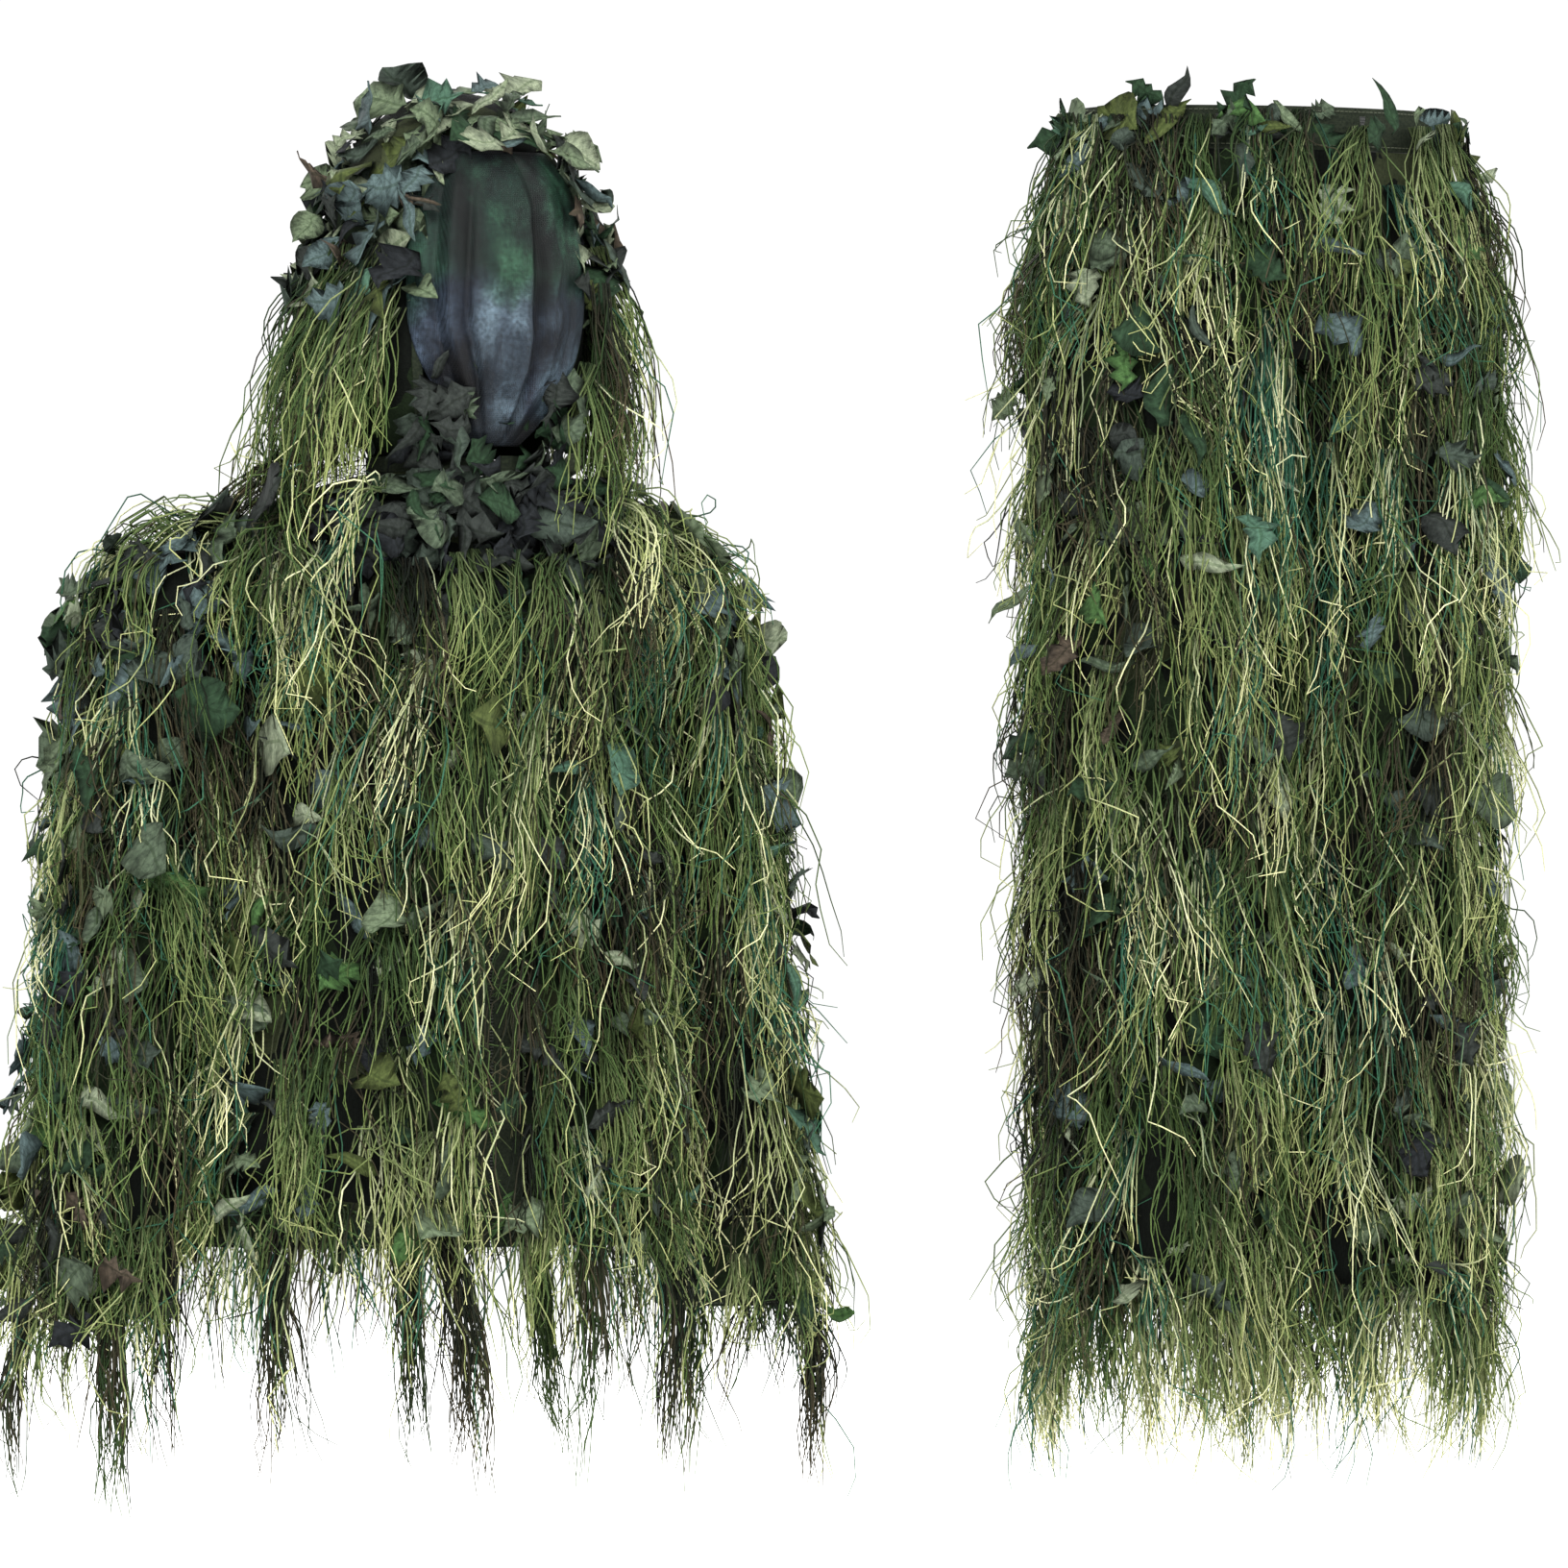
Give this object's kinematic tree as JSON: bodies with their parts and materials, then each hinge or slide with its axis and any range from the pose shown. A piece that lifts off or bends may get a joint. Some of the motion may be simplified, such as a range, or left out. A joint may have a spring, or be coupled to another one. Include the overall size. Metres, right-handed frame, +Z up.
{
  "type": "ghillie suit",
  "caption": "Hooded camouflage jacket with face veil and zip front, beside pull-on trousers, both covered in hanging yarn and leaf scraps.",
  "frame": {"origin": "middle of the underside of the jacket's hang loop, where a hook carries it", "axes": "+X the wearer's left, front faces -Y, +Z up"},
  "size_m": [1.4786, 0.392, 1.245],
  "materials": {
    "cloth": "matt woven camouflage cloth",
    "yarn": "loose jute-like yarn",
    "leaf": "die-cut cloth leaf",
    "mesh": "sheer knitted mesh",
    "tape": "woven tape",
    "zip": "dark painted zip metal"
  },
  "bodies": {
    "jacket": {"back_panel": "cloth", "front_panel_left": "cloth", "front_panel_right": "cloth", "hang_loop": "tape", "hem_band": "tape", "hem_fringe_back": "yarn", "hem_fringe_front": "yarn", "lower_row_back": "yarn", "lower_row_front_left": "yarn", "lower_row_front_right": "yarn", "neck_band": "tape", "upper_row_back": "yarn", "upper_row_front_left": "yarn", "upper_row_front_right": "yarn", "yoke_row": "yarn", "zip_tape_left": "tape", "zip_tape_right": "tape"},
    "hood": {"crown_leaves": "leaf", "curtain_left": "yarn", "curtain_right": "yarn", "hood_back": "cloth", "hood_back_row": "yarn", "hood_brow": "cloth", "hood_left": "cloth", "hood_right": "cloth", "hood_rim_left": "tape", "hood_rim_right": "tape"},
    "veil": {"face_veil": "mesh"},
    "sleeve_left": {"cuff_left": "tape", "sleeve_fringe_left": "yarn", "sleeve_left": "cloth", "sleeve_lower_row_left": "yarn", "sleeve_upper_row_left": "yarn"},
    "sleeve_right": {"cuff_right": "tape", "sleeve_fringe_right": "yarn", "sleeve_lower_row_right": "yarn", "sleeve_right": "cloth", "sleeve_upper_row_right": "yarn"},
    "zip_slider": {"zip_slider": "zip"},
    "zip_pull": {"zip_pull": "zip"},
    "trousers": {"hip_back": "cloth", "hip_front_left": "cloth", "hip_front_right": "cloth", "hip_row_back": "yarn", "hip_row_front": "yarn", "waist_elastic": "tape", "waistband": "tape"},
    "leg_left": {"ankle_cuff_left": "tape", "leg_fringe_left": "yarn", "leg_left": "cloth", "leg_lower_row_left": "yarn", "leg_upper_row_left": "yarn"},
    "leg_right": {"ankle_cuff_right": "tape", "leg_fringe_right": "yarn", "leg_lower_row_right": "yarn", "leg_right": "cloth", "leg_upper_row_right": "yarn"}
  },
  "joints": [
    {"name": "hood_tilt", "type": "hinge", "parent": "jacket", "child": "hood", "pos_m": [0, 0.0061, -0.027], "axis": [-1, 0, 0], "range_deg": [0, 50]},
    {"name": "veil_lift", "type": "hinge", "parent": "hood", "child": "veil", "pos_m": [0, -0.17074, 0.2567], "axis": [-1, 0, 0], "range_deg": [0, 110]},
    {"name": "sleeve_left_swing", "type": "hinge", "parent": "jacket", "child": "sleeve_left", "pos_m": [0.257, 0.0061, -0.127], "axis": [-1, 0, 0], "range_deg": [-30, 110]},
    {"name": "sleeve_right_swing", "type": "hinge", "parent": "jacket", "child": "sleeve_right", "pos_m": [-0.257, 0.0061, -0.127], "axis": [-1, 0, 0], "range_deg": [-30, 110]},
    {"name": "zip_slide", "type": "slide", "parent": "jacket", "child": "zip_slider", "axis": [0, 0, -1], "range_m": [0, 0.6]},
    {"name": "zip_pull_flip", "type": "hinge", "parent": "zip_slider", "child": "zip_pull", "pos_m": [0, -0.1614, -0.0345], "axis": [-1, 0, 0], "range_deg": [0, 150]},
    {"name": "trousers_lift", "type": "slide", "parent": "jacket", "child": "trousers", "axis": [0, 0, 1], "range_m": [0, 0.3]},
    {"name": "leg_left_swing", "type": "hinge", "parent": "trousers", "child": "leg_left", "pos_m": [0.9674, 0.0061, 0.033], "axis": [-1, 0, 0], "range_deg": [-20, 50]},
    {"name": "leg_right_swing", "type": "hinge", "parent": "trousers", "child": "leg_right", "pos_m": [0.7506, 0.0061, 0.033], "axis": [-1, 0, 0], "range_deg": [-20, 50]}
  ]
}
